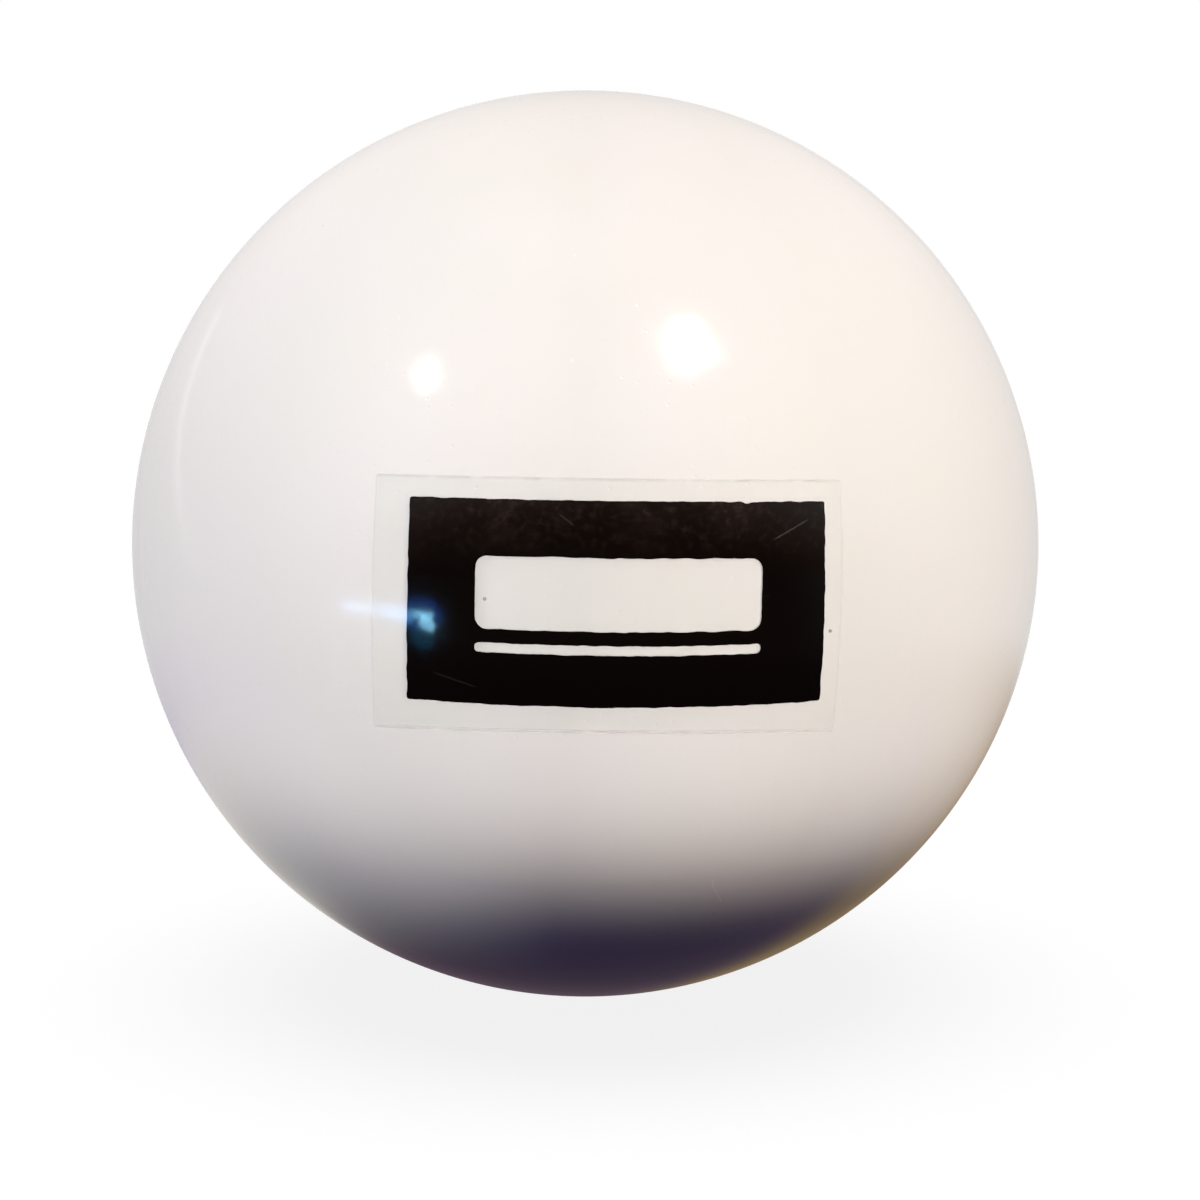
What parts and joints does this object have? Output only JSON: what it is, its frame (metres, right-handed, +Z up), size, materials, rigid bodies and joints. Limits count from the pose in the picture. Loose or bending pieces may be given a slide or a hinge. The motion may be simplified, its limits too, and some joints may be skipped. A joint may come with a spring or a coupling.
{
  "type": "field hockey ball",
  "caption": "Smooth white field hockey ball: a two-cup vinyl cover over a yarn-wound cork and rubber core, with a clear sticker that carries a black panel.",
  "frame": {"origin": "the ball's centre", "axes": "+Z up, -Y towards the front, where the sticker's middle is, +X to the right of someone who faces the sticker; the cover's joint lies in the XZ plane"},
  "size_m": [0.073, 0.0732, 0.073],
  "materials": {
    "white_vinyl": "smooth glossy moulded vinyl with a faint orange peel",
    "clear_film": "clear glossy film, faintly yellow",
    "black_ink": "glossy black screen ink with slightly ragged edges",
    "yarn": "tightly wound natural yarn",
    "cork_rubber": "cork granules bonded in dark rubber, moulded"
  },
  "bodies": {
    "root": {"core": "cork_rubber", "yarn_winding": "yarn", "cover_cup_front": "white_vinyl", "cover_cup_back": "white_vinyl", "decal_film": "clear_film", "decal_print": "black_ink"}
  },
  "joints": []
}
